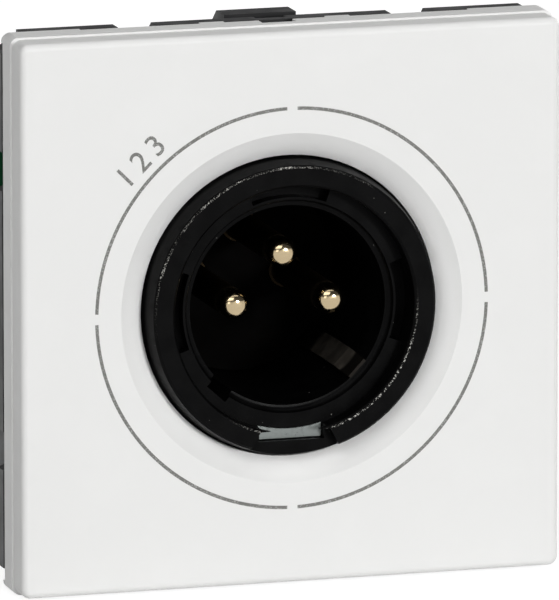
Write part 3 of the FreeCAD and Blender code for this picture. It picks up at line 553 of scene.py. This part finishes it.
def piece_from(name, mesh_builder, material):
    """A mesh piece on the socket's own body."""
    work = bmesh.new()
    mesh_builder(work)
    bmesh.ops.recalc_face_normals(work, faces=work.faces)
    mesh = bpy.data.meshes.new(name)
    work.to_mesh(mesh)
    work.free()
    piece = bpy.data.objects.new(name, mesh)
    bpy.context.scene.collection.objects.link(piece)
    mesh.materials.append(material)
    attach(piece, "socket")


def bridge(work, rows):
    """Faces between closed rows of as many points each, and a cap on the first and the last."""
    for first, second in zip(rows, rows[1:]):
        for side in range(len(first)):
            other = (side + 1) % len(first)
            work.faces.new((first[side], first[other], second[other], second[side]))
    work.faces.new(rows[0])
    work.faces.new(list(reversed(rows[-1])))


def arc_slab(work, low, high, start, end, front, back):
    """A closed slab along an arc about the socket's axis, its front edges a little narrower."""
    chamfer = (back - front) * 0.5
    section = [(low, back), (low + chamfer, front), (high - chamfer, front), (high, back)]
    rows = []
    for step in range(RING_STEPS + 1):
        angle = start + (end - start) * step / RING_STEPS
        rows.append([work.verts.new((radius * math.cos(angle), level, radius * math.sin(angle)))
                     for radius, level in section])
    bridge(work, rows)


def ring_print(work):
    """Four arcs of ink about the dish, with a gap at the top, the bottom and each side."""
    gap = RING_GAP / 2 / RING_RADIUS
    low, high = RING_RADIUS - RING_WIDTH / 2, RING_RADIUS + RING_WIDTH / 2
    for quarter in range(4):
        start = quarter * math.pi / 2 + gap
        end = (quarter + 1) * math.pi / 2 - gap
        arc_slab(work, low, high, start, end, FACE - PRINT_HEIGHT, FACE + PRINT_HEIGHT / 2)


def lathe(work, across, up, profile, steps=28):
    """A closed solid turned about an axis along Y through a point. The profile runs from axis to axis."""
    rows = []
    for radius, level in profile:
        if radius == 0.0:
            rows.append([work.verts.new((across, level, up))])
        else:
            rows.append([work.verts.new((across + radius * math.cos(2 * math.pi * k / steps), level,
                                         up + radius * math.sin(2 * math.pi * k / steps)))
                         for k in range(steps)])
    for first, second in zip(rows, rows[1:]):
        for k in range(steps):
            after = (k + 1) % steps
            corners = [first[k % len(first)], first[after % len(first)],
                       second[after % len(second)], second[k % len(second)]]
            kept = [corner for number, corner in enumerate(corners) if corner not in corners[:number]]
            work.faces.new(kept)


def solder_joint(across, up, tail):
    """A builder of one solder joint: a hollow cone from the pad up to the tail."""
    def build(work):
        top = BOARD_BACK + PAD_HEIGHT
        profile = [(0.0, BOARD_BACK), (PAD_RADIUS, BOARD_BACK), (PAD_RADIUS, top)]
        for step in range(1, SOLDER_STEPS + 1):
            share = step / SOLDER_STEPS
            hollow = (1 - share) ** SOLDER_HOLLOW
            radius = tail + (PAD_RADIUS * SOLDER_FOOT - tail) * hollow
            profile.append((radius, top + SOLDER_HEIGHT * share))
        profile.append((0.0, top + SOLDER_HEIGHT * SOLDER_CROWN))
        lathe(work, across, up, profile)
    return build


def track(points):
    """A builder of one copper track under the mask: a low strip along a line with mitred corners."""
    def build(work):
        half = TRACK_WIDTH / 2
        foot, top = BOARD_BACK - TRACK_HEIGHT / 2, BOARD_BACK + TRACK_HEIGHT
        rows = []
        for number, point in enumerate(points):
            before = points[max(number - 1, 0)]
            after = points[min(number + 1, len(points) - 1)]
            into = (point - before).normalized() if point != before else (after - point).normalized()
            out = (after - point).normalized() if after != point else into
            mid = (into + out).normalized()
            across = Vector((-mid.y, mid.x))
            reach = half / max(0.5, abs(across.dot(Vector((-into.y, into.x)))))
            left, right = point + across * reach, point - across * reach
            lift = across * (TRACK_HEIGHT * TRACK_SLOPE)
            section = ((left, foot), (left - lift, top), (right + lift, top), (right, foot))
            rows.append([work.verts.new((spot.x, level, spot.y)) for spot, level in section])
        bridge(work, rows)
    return build


def middle_of(name):
    """Middle of a node across and up."""
    low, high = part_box(name)
    return Vector(((low.x + high.x) / 2, (low.z + high.z) / 2))


def digits():
    """The plain numbers 1 2 3 in thin ink at the upper left of the ring, reading up to the right."""
    angle = math.radians(DIGIT_ANGLE)
    outward = Vector((math.cos(angle), 0.0, math.sin(angle)))
    along = Vector((math.sin(angle), 0.0, -math.cos(angle)))
    foot = RING_RADIUS + RING_WIDTH / 2 + DIGIT_RISE
    for number, text in enumerate("123"):
        curve = bpy.data.curves.new(f"digit_{text}_text", "FONT")
        curve.body = text
        curve.align_x = "CENTER"
        curve.size = DIGIT_HEIGHT / DIGIT_SHARE_OF_SIZE
        curve.extrude = PRINT_HEIGHT
        curve.offset = INK_SPREAD
        shape = bpy.data.objects.new(f"digit_{text}_shape", curve)
        mesh = bpy.data.meshes.new_from_object(shape)
        mesh.name = f"digit_{text}"
        start = outward * foot + along * (DIGIT_STEP * (number - 1))
        for vertex in mesh.vertices:
            flat = start + along * vertex.co.x + outward * vertex.co.y
            vertex.co = Vector((flat.x, FACE - vertex.co.z / 2, flat.z))
        piece = bpy.data.objects.new(f"digit_{text}", mesh)
        bpy.context.scene.collection.objects.link(piece)
        mesh.materials.clear()
        mesh.materials.append(FINISH_INK)
        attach(piece, "socket")
        bpy.data.objects.remove(shape)


def strip_tail():
    """Where the ground strip's tail comes through the board."""
    points = [vertex.co for vertex in nodes["ground_contact"].data.vertices
              if vertex.co.y > BOARD_BACK]
    return Vector((sum(point.x for point in points), sum(point.z for point in points))) / len(points)


def rear_details():
    """Solder joints on the contacts' tails and the tracks from them to the terminals."""
    pins = [middle_of(f"contact_pin_{n}") for n in range(1, 4)]
    strip = strip_tail()
    joints = [(f"contact_pin_{n}", pin, PIN_TAIL_RADIUS) for n, pin in enumerate(pins, start=1)]
    joints.append(("ground", strip, STRIP_TAIL_RADIUS))
    for name, place, tail in joints:
        piece_from(f"solder_{name}", solder_joint(place.x, place.y, tail),
                   FINISHES["contact_tin"])
    poles = [middle_of(f"clamp_screw_{n}").x for n in range(1, 5)]
    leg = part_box("terminal_block")[1].z - TRACK_UNDER_BLOCK
    left = poles[0] - TRACK_3_OUTWARD
    pin_1, pin_2, pin_3 = pins
    routes = {
        "track_1": [pin_1, Vector((poles[3], pin_1.y - abs(poles[3] - pin_1.x))), Vector((poles[3], leg))],
        "track_2": [pin_2, Vector((pin_2.x, leg + abs(pin_2.x - poles[1]))), Vector((poles[1], leg))],
        "track_3": [pin_3, Vector((left + pin_3.y, pin_3.y)), Vector((left, 0.0)), Vector((left, leg))],
        "track_4": [strip, strip - Vector((TRACK_4_STEP, TRACK_4_STEP)), Vector((poles[2], leg))],
    }
    for name, points in routes.items():
        piece_from(name, track(points), FINISH_TRACK)


dress_nodes()
piece_from("ring_print", ring_print, FINISH_INK)
digits()
rear_details()


# Stage: floor, light and camera

def background_rays(tree):
    """1 for the rays that show the background: straight ones, and those off metal and through glass."""
    rays = tree.nodes.new("ShaderNodeLightPath")
    bent = calc(tree, "MAXIMUM", rays.outputs["Is Glossy Ray"], rays.outputs["Is Transmission Ray"])
    return calc(tree, "MAXIMUM", rays.outputs["Is Camera Ray"], bent)


def mix_shaders(tree, share, first, second, out):
    """Links one shader or another to the output by a share."""
    mix = tree.nodes.new("ShaderNodeMixShader")
    tree.links.new(share, mix.inputs[0])
    tree.links.new(first.outputs[0], mix.inputs[1])
    tree.links.new(second.outputs[0], mix.inputs[2])
    tree.links.new(mix.outputs[0], out.inputs["Surface"])


def stage_floor():
    """A wide pale floor just under the socket. It keeps the shadow and reads white elsewhere."""
    material = bpy.data.materials.new("floor_white")
    material.use_nodes = True
    tree = material.node_tree
    tree.nodes.clear()
    plain = tree.nodes.new("ShaderNodeBsdfDiffuse")
    plain.inputs["Color"].default_value = FLOOR_COLOUR
    seen = tree.nodes.new("ShaderNodeBsdfDiffuse")
    seen.inputs["Color"].default_value = FLOOR_SEEN
    glow = tree.nodes.new("ShaderNodeEmission")
    glow.inputs["Strength"].default_value = FLOOR_GLOW
    both = tree.nodes.new("ShaderNodeAddShader")
    tree.links.new(seen.outputs[0], both.inputs[0])
    tree.links.new(glow.outputs[0], both.inputs[1])
    mix_shaders(tree, background_rays(tree), plain, both, tree.nodes.new("ShaderNodeOutputMaterial"))
    mesh = bpy.data.meshes.new("floor")
    level = LOWEST - FLOOR_GAP
    corners = [(across * FLOOR_REACH, deep * FLOOR_REACH, level)
               for across, deep in ((-1, -1), (1, -1), (1, 1), (-1, 1))]
    mesh.from_pydata(corners, [], [(0, 1, 2, 3)])
    mesh.materials.append(material)
    floor = bpy.data.objects.new("floor", mesh)
    bpy.context.scene.collection.objects.link(floor)


def stage_world():
    """Even pale light from all round. The background seen there is white up to a little above the horizon."""
    world = bpy.data.worlds.new("studio")
    bpy.context.scene.world = world
    world.use_nodes = True
    tree = world.node_tree
    tree.nodes.clear()
    lit, seen = (tree.nodes.new("ShaderNodeBackground") for _ in range(2))
    for background, level in ((lit, WORLD_LEVEL), (seen, BACKDROP_LEVEL)):
        background.inputs["Color"].default_value = WORLD_WHITE
        background.inputs["Strength"].default_value = level
    height = split(tree, tree.nodes.new("ShaderNodeTexCoord").outputs["Generated"])[2]
    low = remap(tree, height, BACKDROP_WHITE_TO, BACKDROP_DARK_FROM, 1.0, 0.0)
    share = calc(tree, "MULTIPLY", background_rays(tree), low)
    mix_shaders(tree, share, lit, seen, tree.nodes.new("ShaderNodeOutputWorld"))


def direction(azimuth, elevation):
    """The way from the socket towards a place: azimuth 0 in front, positive to the right."""
    turn, lift = math.radians(azimuth), math.radians(elevation)
    return Vector((math.sin(turn) * math.cos(lift), -math.cos(turn) * math.cos(lift), math.sin(lift)))


def aim(thing, place, target):
    """Puts a lamp or camera at a place, looking at a target with its top upwards."""
    thing.location = place
    thing.rotation_euler = (target - place).to_track_quat("-Z", "Y").to_euler()


def softbox(name, azimuth, elevation, distance, width, height, power):
    """A rectangular soft lamp that faces the socket."""
    lamp = bpy.data.lights.new(name, "AREA")
    lamp.shape = "RECTANGLE"
    lamp.size = width
    lamp.size_y = height
    lamp.energy = power
    thing = bpy.data.objects.new(name, lamp)
    bpy.context.scene.collection.objects.link(thing)
    aim(thing, direction(azimuth, elevation) * distance, Vector((0.0, 0.0, 0.0)))


def stage_camera():
    """The photograph's view: a long lens, from the left and a little above."""
    lens = bpy.data.cameras.new("camera")
    lens.lens = VIEW_FOCAL
    lens.sensor_width = VIEW_SENSOR
    lens.clip_start = VIEW_NEAR
    camera = bpy.data.objects.new("camera", lens)
    bpy.context.scene.collection.objects.link(camera)
    way = direction(VIEW_AZIMUTH, VIEW_ELEVATION)
    right = Vector((0.0, 0.0, 1.0)).cross(way).normalized()
    up = way.cross(right)
    target = right * VIEW_RIGHT - up * VIEW_DOWN
    aim(camera, target + way * VIEW_DISTANCE, target)
    bpy.context.scene.camera = camera


stage_floor()
stage_world()
softbox("front_right", azimuth=20.0, elevation=11.0, distance=2.5, width=0.36, height=0.44, power=30.0)
softbox("front_left", azimuth=-38.0, elevation=14.0, distance=2.5, width=0.9, height=0.6, power=3.4)
softbox("upper_left", azimuth=-32.0, elevation=40.0, distance=1.8, width=1.5, height=0.7, power=9.0)
softbox("rear", azimuth=122.0, elevation=13.0, distance=2.5, width=1.0, height=0.9, power=22.0)
softbox("over", azimuth=0.0, elevation=80.0, distance=1.6, width=1.6, height=1.2, power=7.0)
stage_camera()
bpy.context.scene.view_settings.view_transform = "Standard"
